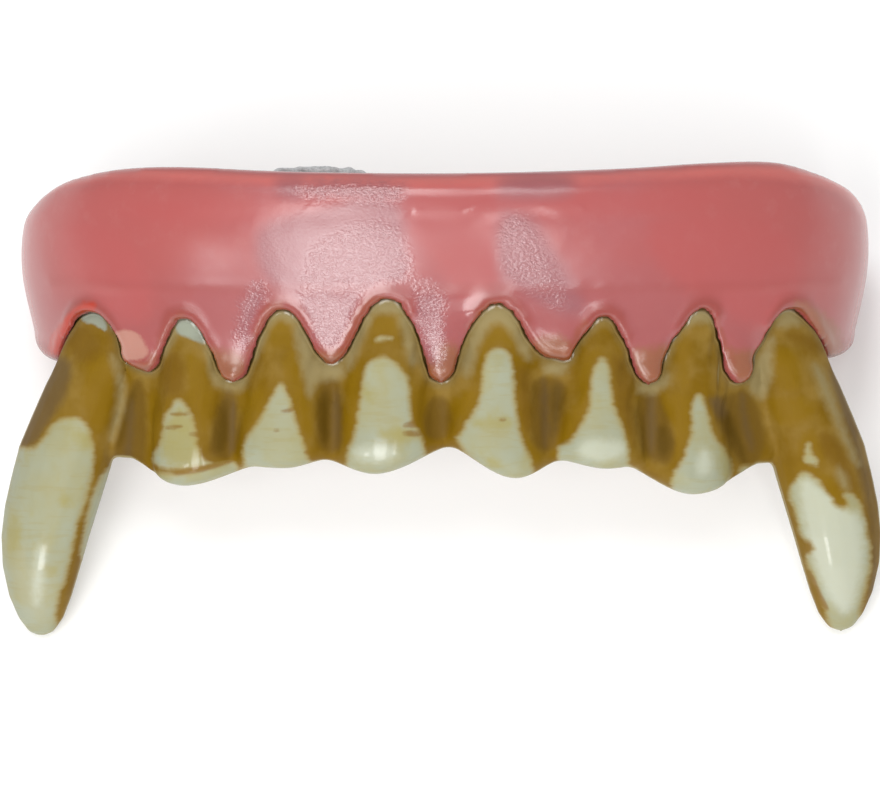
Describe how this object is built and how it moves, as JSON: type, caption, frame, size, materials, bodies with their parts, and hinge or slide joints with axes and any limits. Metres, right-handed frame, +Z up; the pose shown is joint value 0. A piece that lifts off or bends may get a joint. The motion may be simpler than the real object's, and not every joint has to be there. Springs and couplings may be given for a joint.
{
  "type": "vampire fang denture",
  "caption": "Costume upper denture with a curved pink gum wall, a joined row of stained teeth and a long fang at each end, open behind for the wearer's own teeth.",
  "frame": {"origin": "on the surface that the denture lies on, under the middle of its box", "axes": "+X across the row of teeth to the viewer's right, +Y towards the gum's rim, +Z up, out of the surface"},
  "size_m": [0.0658, 0.0336, 0.0307],
  "materials": {
    "gum_acrylic": "pink dental acrylic, glossy with a fine ripple, stained brown round the teeth",
    "tooth_acrylic": "ivory dental acrylic, glossy, with painted ochre and brown stains",
    "putty": "grey-white thermoplastic fitting putty, grainy"
  },
  "bodies": {
    "root": {"gum_shell": "gum_acrylic", "tooth_row": "tooth_acrylic", "fitting_putty": "putty"}
  },
  "joints": []
}
